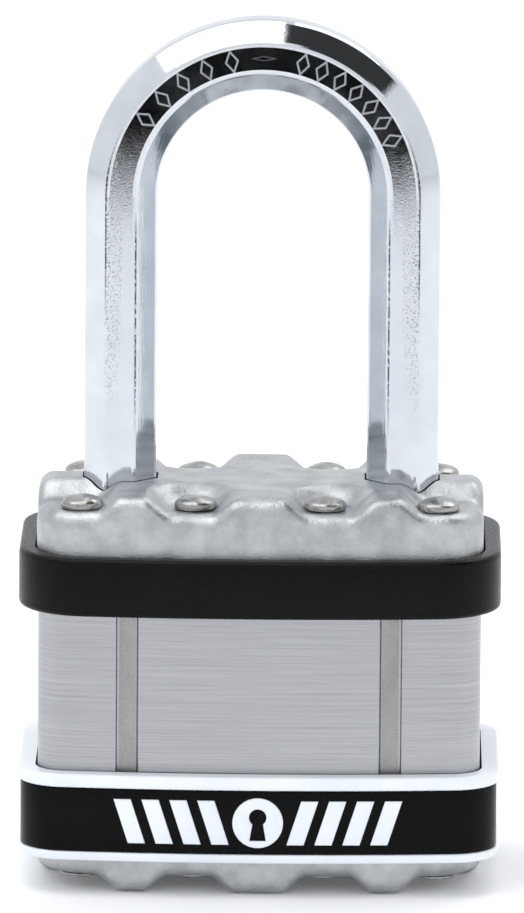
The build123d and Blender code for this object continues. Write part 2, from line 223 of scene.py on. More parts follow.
def roundSectionEdges(bm, radius, steps, outerOnly, corner):
    # rounds the ring's sharp lengthwise edges that stand further out than outerOnly
    sharp = []
    for edge in bm.edges:
        if len(edge.link_faces) == 2 and edge.calc_face_angle() > meshLimits["fold"]:
            middle = (edge.verts[0].co + edge.verts[1].co) / 2
            level = abs(edge.verts[0].co.z - edge.verts[1].co.z) < meshLimits["level"]
            if level and outwards(middle, corner) > outerOnly:
                sharp.append(edge)
    bmesh.ops.bevel(
        bm, geom=sharp, offset=radius, segments=steps, profile=0.5, affect="EDGES", material=-1,
    )


def outwards(point, corner):
    # rough distance of a point outside the case's wall
    deep = abs(point.y) + bowDrop(point.x) - caseShape["halfDeep"]
    wide = abs(point.x) - caseShape["halfWide"]
    cornerX = abs(point.x) - (caseShape["halfWide"] - corner)
    cornerY = abs(point.y) + bowDrop(point.x) - (caseShape["halfDeep"] - corner)
    if cornerX > 0 and cornerY > 0:
        return math.hypot(cornerX, cornerY) - corner
    return max(deep, wide)


noiseLook = {
    "roughness": 0.55,
    "low": 0.3,   # most of a noise pattern's values lie between these two
    "high": 0.7,
}


def makeFinish(name, look):
    # one whole material: noise patterns at their real sizes, and the colour, roughness and relief they drive
    material = bpy.data.materials.new(name)
    material.use_nodes = True
    tree = material.node_tree
    tree.nodes.clear()
    shader = addNode(tree, "ShaderNodeBsdfPrincipled", look["shader"])
    addNode(tree, "ShaderNodeOutputMaterial", links={"Surface": shader.outputs["BSDF"]})
    place = addNode(tree, "ShaderNodeTexCoord").outputs["Object"]
    patterns = {}
    for key, (spacing, detail, stretch) in look["patterns"].items():
        mapping = addNode(tree, "ShaderNodeMapping", {"Scale": stretch}, {"Vector": place})
        patterns[key] = addNode(
            tree, "ShaderNodeTexNoise",
            {"name": key, "Scale": 1 / (spacing * mm), "Detail": detail, "Roughness": noiseLook["roughness"]},
            {"Vector": mapping.outputs["Vector"]},
        ).outputs["Fac"]
    for socket, shares in (("Base Color", look["colour"]), ("Roughness", look["roughness"])):
        total = None
        for key, (low, high) in shares.items():
            part = addNode(
                tree, "ShaderNodeMapRange",
                {"From Min": noiseLook["low"], "From Max": noiseLook["high"], "To Min": low, "To Max": high},
                {"Value": patterns[key]},
            ).outputs["Result"]
            if total is not None:
                both = addNode(tree, "ShaderNodeMath", {"operation": "ADD"}, {0: total, 1: part})
                part = both.outputs["Value"]
            total = part
        if socket == "Base Color":
            ramp = addNode(tree, "ShaderNodeValToRGB", links={"Fac": total})
            for element, code in zip(ramp.color_ramp.elements, look["tones"]):
                element.color = hexColour(code)
            total = ramp.outputs["Color"]
        tree.links.new(total, shader.inputs[socket])
    normal = None
    for key, depth, strength in look["relief"]:
        links = {"Height": patterns[key]}
        if normal:
            links["Normal"] = normal
        bump = addNode(tree, "ShaderNodeBump", {"Strength": strength, "Distance": depth * mm}, links)
        normal = bump.outputs["Normal"]
    tree.links.new(normal, shader.inputs["Normal"])
    return material


# a pattern is (spacing in millimetres, detail, stretch), and colour and roughness give the values that each
# pattern adds at its low and high side; tones are the two ends of the colour; relief is a list of (pattern,
# depth in millimetres, strength)
finishes = {
    # chrome plate over forged boron steel: mirror bright, with slow waves and specks from the forging below
    "chromePlatedSteel": {
        "patterns": {"wide": (6, 4, (1, 1, 1)), "drawn": (0.5, 4, (1, 1, 0.12)), "pits": (0.2, 3, (1, 1, 1))},
        "tones": ("#C8CCD1", "#D8DCE0"),
        "colour": {"wide": (0, 1)},
        "roughness": {"wide": (0.04, 0.09)},
        "relief": [("drawn", 0.012, 0.4), ("pits", 0.006, 0.3)],
        "shader": {"Metallic": 1},
    },
    # the floor of a stamped mark, where the punch left the plating satin: pale lines on a mirror face
    "stampedChrome": {
        "patterns": {"fine": (0.12, 3, (1, 1, 1))},
        "tones": ("#D2D5D8", "#F0F2F4"),
        "colour": {"fine": (0, 1)},
        "roughness": {"fine": (0.4, 0.55)},
        "relief": [("fine", 0.01, 0.4)],
        "shader": {"Metallic": 1},
    },
    # stainless sheet after deep drawing and tumbling: satin, speckled like orange peel, streaked upwards
    "tumbledStainlessSheet": {
        "patterns": {
            "mottle": (2.6, 4, (1, 1, 1)), "peel": (0.26, 4, (1, 1, 1)), "streaks": (0.4, 4, (1, 1, 0.07)),
            "dents": (5.5, 2, (1, 1, 0.6)),
        },
        "tones": ("#A2A4A5", "#C4C6C7"),
        "colour": {"mottle": (0, 1)},
        "roughness": {"mottle": (0.29, 0.37), "streaks": (0, 0.1)},
        "relief": [("dents", 0.9, 0.6), ("streaks", 0.05, 0.6), ("peel", 0.06, 0.85)],
        "shader": {"Metallic": 1},
    },
    # stainless sheet with a level brushed grain: long fine lines that spread highlights up and down
    "brushedStainlessSheet": {
        "patterns": {
            "lines": (0.16, 6, (0.012, 0.012, 1)),
            "bands": (2.2, 3, (0.05, 0.05, 1)),
            "cloud": (9, 4, (1, 1, 1)),
        },
        "tones": ("#9FA0A2", "#B4B5B7"),
        "colour": {"lines": (0, 1)},
        "roughness": {"lines": (0.27, 0.35), "bands": (-0.03, 0.04)},
        "relief": [("cloud", 0.03, 0.3), ("lines", 0.012, 0.5)],
        "shader": {"Metallic": 1},
    },
    # the pressed grooves that the brush doesn't reach: the sheet's dull mill finish, softly clouded
    "millFinishSheet": {
        "patterns": {"sand": (0.24, 4, (1, 1, 1)), "cloud": (2.5, 4, (1, 1, 0.4))},
        "tones": ("#8B8988", "#ADABA9"),
        "colour": {"sand": (0, 0.45), "cloud": (0, 0.55)},
        "roughness": {"sand": (0.36, 0.46)},
        "relief": [("sand", 0.014, 0.6)],
        "shader": {"Metallic": 1},
    },
    # cold headed steel: a rounded crown with flats and dents from the heading tool
    "coldHeadedSteel": {
        "patterns": {"dents": (1.3, 2, (1, 1, 1)), "fine": (0.2, 4, (1, 1, 1))},
        "tones": ("#8E8D8B", "#B4B3B1"),
        "colour": {"dents": (0, 1)},
        "roughness": {"fine": (0.2, 0.32)},
        "relief": [("dents", 0.14, 0.6), ("fine", 0.01, 0.4)],
        "shader": {"Metallic": 1},
    },
    # moulded black nitrile rubber: satin, with a fine grain from the mould and faint bloom
    "mouldedBlackRubber": {
        "patterns": {
            "bloom": (7, 4, (1, 1, 1)), "skin": (0.35, 5, (1, 1, 1)), "scuffs": (0.5, 4, (0.12, 0.12, 1)),
        },
        "tones": ("#020202", "#090909"),
        "colour": {"bloom": (0, 0.7), "scuffs": (-0.2, 0.5)},
        "roughness": {"skin": (0.22, 0.36)},
        "relief": [("skin", 0.03, 0.55)],
        "shader": {"Specular IOR Level": 0.13},
    },
    # glossy white ABS: clean, faintly cool, with the slow waviness of a moulded face
    "glossWhiteAbs": {
        "patterns": {"slow": (8, 4, (1, 1, 1)), "fine": (0.4, 4, (1, 1, 1))},
        "tones": ("#E6ECF2", "#F1F5F9"),
        "colour": {"slow": (0, 1)},
        "roughness": {"fine": (0.16, 0.26)},
        "relief": [("slow", 0.04, 0.25)],
        "shader": {"Coat Weight": 0.4, "Coat Roughness": 0.08},
    },
    # glossy black ABS strip: deep black with a soft sheen where it turns the corners
    "glossBlackAbs": {
        "patterns": {"slow": (6, 4, (1, 1, 1)), "fine": (0.3, 4, (1, 1, 1))},
        "tones": ("#040405", "#090909"),
        "colour": {"slow": (0, 1)},
        "roughness": {"fine": (0.22, 0.34)},
        "relief": [("fine", 0.01, 0.4)],
        "shader": {"Specular IOR Level": 0.09},
    },
    # turned brass: warm, with fine lathe rings that break up the shine
    "turnedBrass": {
        "patterns": {"rings": (0.14, 4, (0.08, 0.08, 1)), "tarnish": (4, 4, (1, 1, 1))},
        "tones": ("#A98645", "#C9A865"),
        "colour": {"tarnish": (0, 1)},
        "roughness": {"rings": (0.22, 0.36)},
        "relief": [("rings", 0.01, 0.6)],
        "shader": {"Metallic": 1},
    },
    # blanked mild steel plate: oiled grey with a rolled grain
    "oiledSteelPlate": {
        "patterns": {"rolled": (0.3, 4, (0.1, 1, 1)), "oil": (5, 4, (1, 1, 1))},
        "tones": ("#77797B", "#94969A"),
        "colour": {"oil": (0, 1)},
        "roughness": {"rolled": (0.3, 0.45)},
        "relief": [("rolled", 0.02, 0.5)],
        "shader": {"Metallic": 1},
    },
    # ground and hardened steel: springs, balls and rotor, almost mirror bright
    "groundHardSteel": {
        "patterns": {"fine": (0.2, 4, (1, 1, 1)), "cloud": (2, 4, (1, 1, 1))},
        "tones": ("#B7B9BC", "#D0D2D4"),
        "colour": {"cloud": (0, 1)},
        "roughness": {"fine": (0.12, 0.22)},
        "relief": [("fine", 0.006, 0.4)],
        "shader": {"Metallic": 1},
    },
    # matt white studio paper
    "paleStudioFloor": {
        "patterns": {"paper": (40, 4, (1, 1, 1))},
        "tones": ("#FBFBFC", "#FDFDFE"),
        "colour": {"paper": (0, 1)},
        "roughness": {"paper": (0.88, 0.92)},
        "relief": [("paper", 0.01, 0.1)],
        "shader": {"Emission Color": (1, 1, 1, 1), "Emission Strength": 0.06},
    },
    # black felt on the card that only the reflections see
    "darkFlagCloth": {
        "patterns": {"weave": (2, 4, (1, 1, 1))},
        "tones": ("#030303", "#060606"),
        "colour": {"weave": (0, 1)},
        "roughness": {"weave": (0.95, 1)},
        "relief": [("weave", 0.1, 0.2)],
        "shader": {"Specular IOR Level": 0},
    },
}
finish = {name: makeFinish(name, look) for name, look in finishes.items()}

# each place of the bow's painted dark reflection, broken up by pits, says where the pits' noise begins to
# count and is full, and then where the place begins, is full, fades and ends: first outwards from the bow's
# middle plane, then in height
pitsAndPaintedReflectionLook = {
    # the colour of the painted dark reflection
    "tone": "#3C3D3F",
    "depth": 0.03 * mm,
    "strength": 0.7,
    "face": (-barFlats / 2 + 0.1 * mm, -barFlats / 2 + 0.3 * mm),  # the painted dark reflection and its pits lie only on the front face
    "places": [
        # painted dark reflection, broken up by the forging's pits, along the outer edge of each leg's front
        # face
        ((0.55, 0.66), (legX - 0.2 * mm, legX + 1.4 * mm, legX + 1.45 * mm, legX + 1.65 * mm),
         (46 * mm, 62 * mm, archZ - 2 * mm, archZ + 5 * mm)),
        # a broken line of painted dark reflection down the inner edge
        ((0.42, 0.5), (legX - 1.6 * mm, legX - 1.5 * mm, legX - 1.42 * mm, legX - 1.34 * mm),
         (44 * mm, 50 * mm, 64 * mm, 67 * mm)),
        # a fuller one down the outer edge, below the bend
        ((0.36, 0.46), (legX + 1.38 * mm, legX + 1.45 * mm, legX + 1.53 * mm, legX + 1.6 * mm),
         (56 * mm, 61 * mm, archZ + 2 * mm, archZ + 7 * mm)),
    ],
}


# paints dark reflection into the chrome's colour along the front face's edges, broken up by pits that also
# dent the face
def paintPitsAndReflection():
    tree = finish["chromePlatedSteel"].node_tree
    shader = tree.nodes["Principled BSDF"]
    place = tree.nodes["Texture Coordinate"].outputs["Object"]
    # distance from the bow's middle plane: x on the legs, the radius on the bend
    axes = addNode(tree, "ShaderNodeSeparateXYZ", links={"Vector": place}).outputs
    above = addNode(
        tree, "ShaderNodeMath", {"operation": "SUBTRACT", 1: archZ, "use_clamp": True}, {0: axes["Z"]},
    )
    flat = addNode(tree, "ShaderNodeCombineXYZ", links={"X": axes["X"], "Y": above.outputs["Value"]})
    reach = addNode(tree, "ShaderNodeVectorMath", {"operation": "LENGTH"}, {0: flat.outputs["Vector"]})
    pitsAndPaintedReflection = None
    for (low, high), across, along in pitsAndPaintedReflectionLook["places"]:
        limits = [(tree.nodes["pits"].outputs["Fac"], low, high, 0)]
        for source, (begin, full, fade, end) in ((reach.outputs["Value"], across), (axes["Z"], along)):
            limits += [(source, begin, full, 0), (source, fade, end, 1)]
        limits.append((axes["Y"], *pitsAndPaintedReflectionLook["face"], 1))
        part = None
        for source, begin, end, startsAt in limits:
            share = addNode(
                tree, "ShaderNodeMapRange",
                {"From Min": begin, "From Max": end, "To Min": startsAt, "To Max": 1 - startsAt},
                {"Value": source},
            ).outputs["Result"]
            if part is not None:
                both = addNode(tree, "ShaderNodeMath", {"operation": "MULTIPLY"}, {0: part, 1: share})
                share = both.outputs["Value"]
            part = share
        if pitsAndPaintedReflection is not None:
            either = addNode(tree, "ShaderNodeMath", {"operation": "MAXIMUM"}, {0: pitsAndPaintedReflection, 1: part})
            part = either.outputs["Value"]
        pitsAndPaintedReflection = part
    # the dark reflection is painted into the chrome's colour here
    colour = addNode(
        tree, "ShaderNodeMix", {"data_type": "RGBA", "B": hexColour(pitsAndPaintedReflectionLook["tone"])},
        {"A": shader.inputs["Base Color"].links[0].from_socket, "Factor": pitsAndPaintedReflection},
    )
    tree.links.new(colour.outputs["Result"], shader.inputs["Base Color"])
    bump = addNode(
        tree, "ShaderNodeBump", {"Strength": pitsAndPaintedReflectionLook["strength"], "Distance": -pitsAndPaintedReflectionLook["depth"]},
        {"Height": pitsAndPaintedReflection, "Normal": shader.inputs["Normal"].links[0].from_socket},
    )
    tree.links.new(bump.outputs["Normal"], shader.inputs["Normal"])


paintPitsAndReflection()
print("materials made")


capLook = {
    "rimRadius": 1.6 * mm,    # the rolled edge between top and side
    "rimSteps": 7,
    "rings": 40,              # rings from the rim to the middle
    "drop": 1.65 * mm,        # how far the pads are pressed in
    "slope": 1.35 * mm,       # half the width of a pad's sloping wall
    "innerPad": (6.85 * mm, 3.3 * mm, 4.9 * mm, 3.0 * mm),  # middle, half width, start in depth, corner
    "outerPad": (14.9 * mm, 3.0 * mm, 1.9 * mm),            # start in width, start in depth, corner
    "padReach": 30 * mm,      # takes the pads' shapes out past the case's walls
    "thickness": 1.2 * mm,
    "legGap": 0.16 * mm,
    "plugHole": 5.1 * mm,
    "plugHoleSteps": 96,
    "cutDeep": 8 * mm,
    "wobble": 0.05 * mm,      # unevenness of the top
    "wobblePitch": 1 / 260,   # in metres
    "wobbleDip": 0.7,         # how far the unevenness leans downwards
}


def boxDistance(x, y, halfWide, halfDeep, corner):
    # signed distance to a rounded rectangle about the origin
    dx = abs(x) - halfWide + corner
    dy = abs(y) - halfDeep + corner
    return math.hypot(max(dx, 0), max(dy, 0)) + min(max(dx, dy), 0) - corner


def padDepth(x, y):
    # how deep the top is pressed in at a place
    reach = capLook["padReach"]
    middle, halfWide, startY, corner = capLook["innerPad"]
    inner = boxDistance(abs(x) - middle, abs(y) - startY - reach, halfWide, reach, corner)
    startX, startY, corner = capLook["outerPad"]
    outer = boxDistance(abs(x) - startX - reach, abs(y) - startY - reach, reach, reach, corner)
    nearest = min(inner, outer)
    return capLook["drop"] * smoothStep(0.5 - nearest / (2 * capLook["slope"]))


def capShell():
    # a stamped cap the right way up: skirt, rolled rim and sunken pads, as a closed sheet
    bm = bmesh.new()
    top, corner = caseShape["top"], caseShape["corner"]
    radius, steps = capLook["rimRadius"], capLook["rimSteps"]
    edges = outlineLoop(bm, 0, capLow.z, corner)
    edges = pullRing(bm, edges, 0, top - capLow.z, corner)
    turns = [radius * (1 - math.cos(math.pi / 2 * step / steps)) for step in range(steps + 1)]
    for before, depth in zip(turns, turns[1:]):
        edges = pullRing(bm, edges, before - depth, 0, corner)
    for left in range(capLook["rings"] - 1, 0, -1):
        verts = pull(bm, edges)
        share = left / (left + 1)
        bmesh.ops.scale(bm, vec=(share, share, 1), verts=verts)
        edges = loopOf(bm, verts)
    middle = bmesh.ops.edgeloop_fill(bm, edges=edges)["faces"]
    bmesh.ops.poke(bm, faces=middle)
    for v in bm.verts:
        if v.co.z > capLow.z + mm:
            depth = min(radius, max(0, -outwards(v.co, corner)))
            fall = radius - math.sqrt(max(0.0, radius ** 2 - (radius - depth) ** 2))
            uneven = noise.noise(v.co / capLook["wobblePitch"]) - capLook["wobbleDip"]
            ripple = capLook["wobble"] * uneven * depth / radius
            v.co.z = top - padDepth(v.co.x, v.co.y) - fall + ripple
    bmesh.ops.remove_doubles(bm, verts=bm.verts, dist=meshLimits["sliver"])
    bmesh.ops.dissolve_degenerate(bm, edges=bm.edges, dist=meshLimits["sliver"])
    bmesh.ops.recalc_face_normals(bm, faces=bm.faces)
    if sum(f.normal.z * f.calc_area() for f in bm.faces) < 0:
        bmesh.ops.reverse_faces(bm, faces=bm.faces)
    bmesh.ops.solidify(bm, geom=bm.faces, thickness=capLook["thickness"])
    return bm


def octagonPrism(x, grow, low, high):
    # the shackle's bar, a little larger, to cut its hole with
    bm = bmesh.new()
    radius = (barFlats / 2 + grow) / math.cos(math.pi / 8)
    spin = Matrix.Translation((x, 0, low)) @ Matrix.Rotation(math.pi / 8, 4, "Z")
    made = bmesh.ops.create_circle(bm, cap_ends=True, segments=8, radius=radius, matrix=spin)
    face = made["verts"][0].link_faces[0]
    raised = bmesh.ops.extrude_face_region(bm, geom=[face])
    lifted = [g for g in raised["geom"] if isinstance(g, bmesh.types.BMVert)]
    bmesh.ops.translate(bm, vec=(0, 0, high - low), verts=lifted)
    return bm


def buildCaps():
    metal = finish["tumbledStainlessSheet"]
    low, high = capLow.z - mm, capHigh.z + mm
    legHoles = [octagonPrism(side * legX, capLook["legGap"], low, high) for side in (-1, 1)]
    topShell = carve(capShell(), legHoles)
    newPiece("topCap", topShell, [metal], "case", "top_cap", 50)
    plugHole = bmesh.new()
    bmesh.ops.create_cone(
        plugHole, cap_ends=True, segments=capLook["plugHoleSteps"], radius1=capLook["plugHole"],
        radius2=capLook["plugHole"], depth=capLook["cutDeep"],
        matrix=Matrix.Translation((0, 0, caseShape["top"])),
    )
    bottomShell = carve(capShell(), [plugHole])
    bmesh.ops.transform(bottomShell, matrix=Matrix.Scale(-1, 4, (0, 0, 1)), verts=bottomShell.verts)
    bmesh.ops.translate(bottomShell, vec=(0, 0, caseShape["top"]), verts=bottomShell.verts)
    newPiece("bottomCap", bottomShell, [metal], "case", "bottom_cap", 50)


buildCaps()
print("caps made")


rivetLook = {
    "places": [(x * mm, y * mm) for x in (-17.55, -6.37, 6.37, 17.55) for y in (-8.5, 8.5)],
    "headRadius": 2.1 * mm,
    "rim": 0.4 * mm,
    "height": 1.35 * mm,
    "footRim": 0.2 * mm,    # the lower heads are driven nearly flat
    "footHeight": 0.6 * mm,
    "shank": 1.6 * mm,
    "steps": 40,
    "domeSteps": 10,
    "domeEase": 0.1,        # how much the dome is drawn in near its top
    "rimEdge": (0.985, 0.3),   # the rim's rounded edge, as shares of the radius and of the rim
    "seatEdge": 0.93,       # where the head meets the cap, as a share of the radius
    "headStart": 0.93,      # the dents begin at this share of the way from the middle to either end
    "headBlend": 0.05,
    "wobble": 0.09 * mm,    # dents from the heading tool
    "wobblePitch": 1 / 700,    # in metres
    "wobbleDip": 0.6,
    "lean": 0.03,           # slope of the most tilted head
    "seedSpan": 50,
}


def rivetProfile(height, rim):
    # half outline of a headed rivet from its top to its middle, as (radius, height)
    seat = rivetTop - rivetLook["height"]
    points = []
    for step in range(rivetLook["domeSteps"] + 1):
        angle = math.pi / 2 * step / rivetLook["domeSteps"]
        ease = 1 - rivetLook["domeEase"] * (1 - math.sin(angle))
        reach = rivetLook["headRadius"] * math.sin(angle) * ease
        points.append((reach, seat + rim + (height - rim) * math.cos(angle)))
    edgeShare, rimShare = rivetLook["rimEdge"]
    points.append((rivetLook["headRadius"] * edgeShare, seat + rim * rimShare))
    points.append((rivetLook["headRadius"] * rivetLook["seatEdge"], seat))
    points.append((rivetLook["shank"], seat))
    points.append((rivetLook["shank"], caseShape["top"] / 2))
    return points


def buildRivets():
    bm = bmesh.new()
    rng = random.Random(7)
    for x, y in rivetLook["places"]:
        head = rivetProfile(rivetLook["height"], rivetLook["rim"])
        foot = rivetProfile(rivetLook["footHeight"], rivetLook["footRim"])
        full = head + [(r, caseShape["top"] - z) for r, z in reversed(foot[:-1])]
        chain = [bm.verts.new((r, 0, z)) for r, z in full]
        edges = [bm.edges.new(pair) for pair in zip(chain, chain[1:])]
        spun = bmesh.ops.spin(
            bm, geom=chain + edges, cent=(0, 0, 0), axis=(0, 0, 1), dvec=(0, 0, 0),
            angle=2 * math.pi, steps=rivetLook["steps"], use_merge=True,
        )
        island = set(chain)
        grown = set(chain)
        while grown:
            grown = {e.other_vert(v) for v in grown for e in v.link_edges} - island
            island |= grown
        turn = rng.uniform(0, 2 * math.pi)
        lean = rng.uniform(-rivetLook["lean"], rivetLook["lean"])
        seed = rng.uniform(0, rivetLook["seedSpan"])
        middleZ = caseShape["top"] / 2
        for v in island:
            fromMiddle = abs(v.co.z - middleZ) / middleZ
            nearHead = smoothStep((fromMiddle - rivetLook["headStart"]) / rivetLook["headBlend"])
            dent = noise.noise(v.co / rivetLook["wobblePitch"] + Vector((seed, 0, 0)))
            dip = rivetLook["wobble"] * nearHead * (rivetLook["wobbleDip"] + dent)
            v.co.z -= math.copysign(1, v.co.z - middleZ) * dip
            v.co.z += lean * v.co.x * nearHead
        bmesh.ops.rotate(bm, cent=(0, 0, 0), matrix=Matrix.Rotation(turn, 3, "Z"), verts=list(island))
        bmesh.ops.translate(bm, vec=(x, y, 0), verts=list(island))
    newPiece("rivetHeads", bm, [finish["coldHeadedSteel"]], "case", "rivets", 60)


buildRivets()
print("rivets made")


sleeveLook = {
    "grooveX": 13.0 * mm,
    "grooveWide": 2.1 * mm,
    "grooveDeep": 0.6 * mm,
    "edgeRound": 0.28 * mm,
    "edgeSteps": 3,
    "edgeTurn": math.radians(50),   # upright edges that bend more than this are rounded
    "skin": 0.4 * mm,       # the outer wall's faces lie within this of the case's wall
    "thickness": 1.2 * mm,
    "inset": 0.2 * mm,      # the sleeve stands this far inside the caps
    "corner": 2.8 * mm,
}


def buildSleeve():
    low, high = sleeveLow.z / mm, sleeveHigh.z / mm
    inner = -sleeveLook["thickness"] / mm
    outer, corner = -sleeveLook["inset"] / mm, sleeveLook["corner"]
    bm = bandSection([(outer, low), (outer, high), (inner, high), (inner, low)], corner)
    halfGroove = sleeveLook["grooveWide"] / 2
    for side in (-1, 1):
        for offset in (-halfGroove, halfGroove):
            bmesh.ops.bisect_plane(
                bm, geom=list(bm.verts) + list(bm.edges) + list(bm.faces), dist=meshLimits["cut"],
                plane_co=(side * sleeveLook["grooveX"] + offset, 0, 0), plane_no=(1, 0, 0),
            )
    for side in (-1, 1):
        for front in (-1, 1):
            strip = []
            for f in bm.faces:
                middle = f.calc_center_median()
                inGroove = abs(middle.x - side * sleeveLook["grooveX"]) < halfGroove
                if inGroove and outwards(middle, corner) > -sleeveLook["skin"] and middle.y * front > 0:
                    strip.append(f)
            pushed = bmesh.ops.extrude_face_region(bm, geom=strip)["geom"]
            moved = [g for g in pushed if isinstance(g, bmesh.types.BMVert)]
            bmesh.ops.translate(bm, vec=(0, -front * sleeveLook["grooveDeep"], 0), verts=moved)
            for f in pushed:
                if isinstance(f, bmesh.types.BMFace):
                    f.material_index = 1
            bmesh.ops.delete(bm, geom=strip, context="FACES")
    bmesh.ops.recalc_face_normals(bm, faces=bm.faces)
    upright = [
        e for e in bm.edges
        if len(e.link_faces) == 2 and e.calc_face_angle() > sleeveLook["edgeTurn"]
        and (e.verts[0].co - e.verts[1].co).xy.length < meshLimits["level"]
    ]
    # the rounded edges take the brushed finish, so this bevel names a material
    bmesh.ops.bevel(
        bm, geom=upright, offset=sleeveLook["edgeRound"], segments=sleeveLook["edgeSteps"],
        profile=0.5, affect="EDGES", material=0,
    )
    metals = [finish["brushedStainlessSheet"], finish["millFinishSheet"]]
    newPiece("caseSleeve", bm, metals, "case", "case_sleeve", 40)


buildSleeve()
print("sleeve made")


# both bands and the inlay: outward places are in millimetres from the case's wall
bandLook = {
    "proud": 1.75,
    "gap": 0.2,             # between the rubber and the case
    "bumperRound": (0.55 * mm, 5),   # radius and steps
    "corner": 2.8 * mm,     # the lower band turns its corners tighter than the rubber does
    "carrierGap": 0.03,
    "lowerLipDraft": 0.12,  # the lower lip draws in this much towards its bottom
    "lipRound": (0.3 * mm, 4),
    "channel": 0.9,
    "inlayProud": 1.5,
    "inlayGap": 0.06,
    "inlayFloor": 0.02,
    "inlayRound": (0.12 * mm, 3),
}


def buildBumper():
    proud, low, high = bandLook["proud"], bumperLow.z / mm, bumperHigh.z / mm
    middle, gap, corner = (low + high) / 2, bandLook["gap"], caseShape["corner"]
    bm = bandSection([(gap, low), (proud, low), (proud, middle), (proud, high), (gap, high)], corner)
    roundSectionEdges(bm, *bandLook["bumperRound"], proud / 2 * mm, corner)
    newPiece("rubberBumper", bm, [finish["mouldedBlackRubber"]], "case", "upper_bumper", 50)


def carrierRing():
    proud, channel, inner = bandLook["proud"], bandLook["channel"], bandLook["carrierGap"]
    low, high = carrierLow.z / mm, carrierHigh.z / mm
    floorZ, ceilingZ = inlayLow.z / mm, inlayHigh.z / mm
    bm = bandSection([
        (inner, low), (proud - bandLook["lowerLipDraft"], low), (proud, floorZ), (channel, floorZ),
        (channel, ceilingZ), (proud, ceilingZ), (proud, high), (inner, high),
    ], bandLook["corner"])
    roundSectionEdges(bm, *bandLook["lipRound"], (proud + channel) / 2 * mm, bandLook["corner"])
    return bm


# a generic mark: sizes are in millimetres
motifLook = {
    "discRadius": 2.5,
    "discSteps": 64,
    "bars": 4,            # on each side of the disc
    "firstBar": 4.4,      # the first bar's middle
    "pitch": 2.75,
    "barWide": 1.7,
    "height": 4.4,
    "lean": math.radians(18),
    "keyRound": 0.85,
    "keyRise": 0.55,      # the keyhole's round part stands this far above the middle
    "keySlot": (1.2, 2.1, -0.75),    # the keyhole's slot: width, height and place
    "keyFlare": (1.35, 0.75),        # how the slot widens at its foot and narrows at its top
    "cutProud": 0.3,      # the cutters stand this far out of the disc
    "root": 0.2,          # the mark reaches this far into the white ring
    "edge": 0.09 * mm,
    "edgeSteps": 2,
    "edgeTurn": 0.7,      # in radians
    "faceSkin": 0.12 * mm,   # the front face's edges lie within this of it
}


def motifBlock(kind, wide, tall, x, z):
    # an upright block or round bar that runs through the front of the white ring
    bm = bmesh.new()
    deep = (bandLook["proud"] - bandLook["channel"] + motifLook["root"]) * mm
    middleY = -caseShape["halfDeep"] - bandLook["proud"] * mm + deep / 2
    if kind == "round":
        turned = Matrix.Rotation(math.pi / 2, 4, "X")
        bmesh.ops.create_cone(
            bm, cap_ends=True, segments=motifLook["discSteps"], radius1=wide * mm, radius2=wide * mm,
            depth=deep, matrix=turned,
        )
    else:
        bmesh.ops.create_cube(bm, size=1)
        bmesh.ops.scale(bm, vec=(wide * mm, deep, tall * mm), verts=bm.verts)
    bmesh.ops.translate(bm, vec=(x * mm, middleY, z * mm), verts=bm.verts)
    return bm


def addMotif(bm):
    # a disc with a keyhole between two rows of leaning bars, raised on the front of the white ring
    middleZ = (inlayLow.z + inlayHigh.z) / 2
    slotWide, slotTall, slotRise = motifLook["keySlot"]
    disc = motifBlock("round", motifLook["discRadius"], 0, 0, middleZ / mm)
    hole = motifBlock("round", motifLook["keyRound"], 0, 0, middleZ / mm + motifLook["keyRise"])
    slot = motifBlock("bar", slotWide, slotTall, 0, middleZ / mm + slotRise)
    for cutter in (hole, slot):
        bmesh.ops.translate(cutter, vec=(0, -motifLook["cutProud"] * mm, 0), verts=cutter.verts)
    foot, head = motifLook["keyFlare"]
    for v in slot.verts:
        v.co.x *= foot if v.co.z < middleZ + slotRise * mm else head
    parts = [carve(disc, [hole, slot])]
    for side in (-1, 1):
        for index in range(motifLook["bars"]):
            x = side * (motifLook["firstBar"] + index * motifLook["pitch"])
            bar = motifBlock("bar", motifLook["barWide"], motifLook["height"], x, middleZ / mm)
            for v in bar.verts:
                v.co.x += side * (v.co.z - middleZ) * math.tan(motifLook["lean"])
            parts.append(bar)
    front = -caseShape["halfDeep"] - bandLook["proud"] * mm + motifLook["faceSkin"]
    for part in parts:
        edges = [
            e for e in part.edges
            if len(e.link_faces) == 2 and e.calc_face_angle() > motifLook["edgeTurn"]
            and max(v.co.y for v in e.verts) < front
        ]
        bmesh.ops.bevel(
            part, geom=edges, offset=motifLook["edge"], segments=motifLook["edgeSteps"],
            profile=0.5, affect="EDGES", material=-1,
        )
        for v in part.verts:
            v.co.y += bowDrop(v.co.x)
        mesh = bpy.data.meshes.new("motifPart")
        part.to_mesh(mesh)
        bm.from_mesh(mesh)
        bpy.data.meshes.remove(mesh)
        part.free()


def buildLowerBand():
    bm = carrierRing()
    addMotif(bm)
    newPiece("whiteBand", bm, [finish["glossWhiteAbs"]], "case", "lower_band_carrier", 40)
    low, high = inlayLow.z / mm + bandLook["inlayGap"], inlayHigh.z / mm - bandLook["inlayGap"]
    proud, inner = bandLook["inlayProud"], bandLook["channel"] + bandLook["inlayFloor"]
    corner = bandLook["corner"]
    bm = bandSection([(inner, low), (proud, low), (proud, high), (inner, high)], corner)
    roundSectionEdges(bm, *bandLook["inlayRound"], (proud + inner) / 2 * mm, corner)
    newPiece("blackInlay", bm, [finish["glossBlackAbs"]], "case", "lower_band_inlay", 50)


buildBumper()
buildLowerBand()
print("bumper and band made")


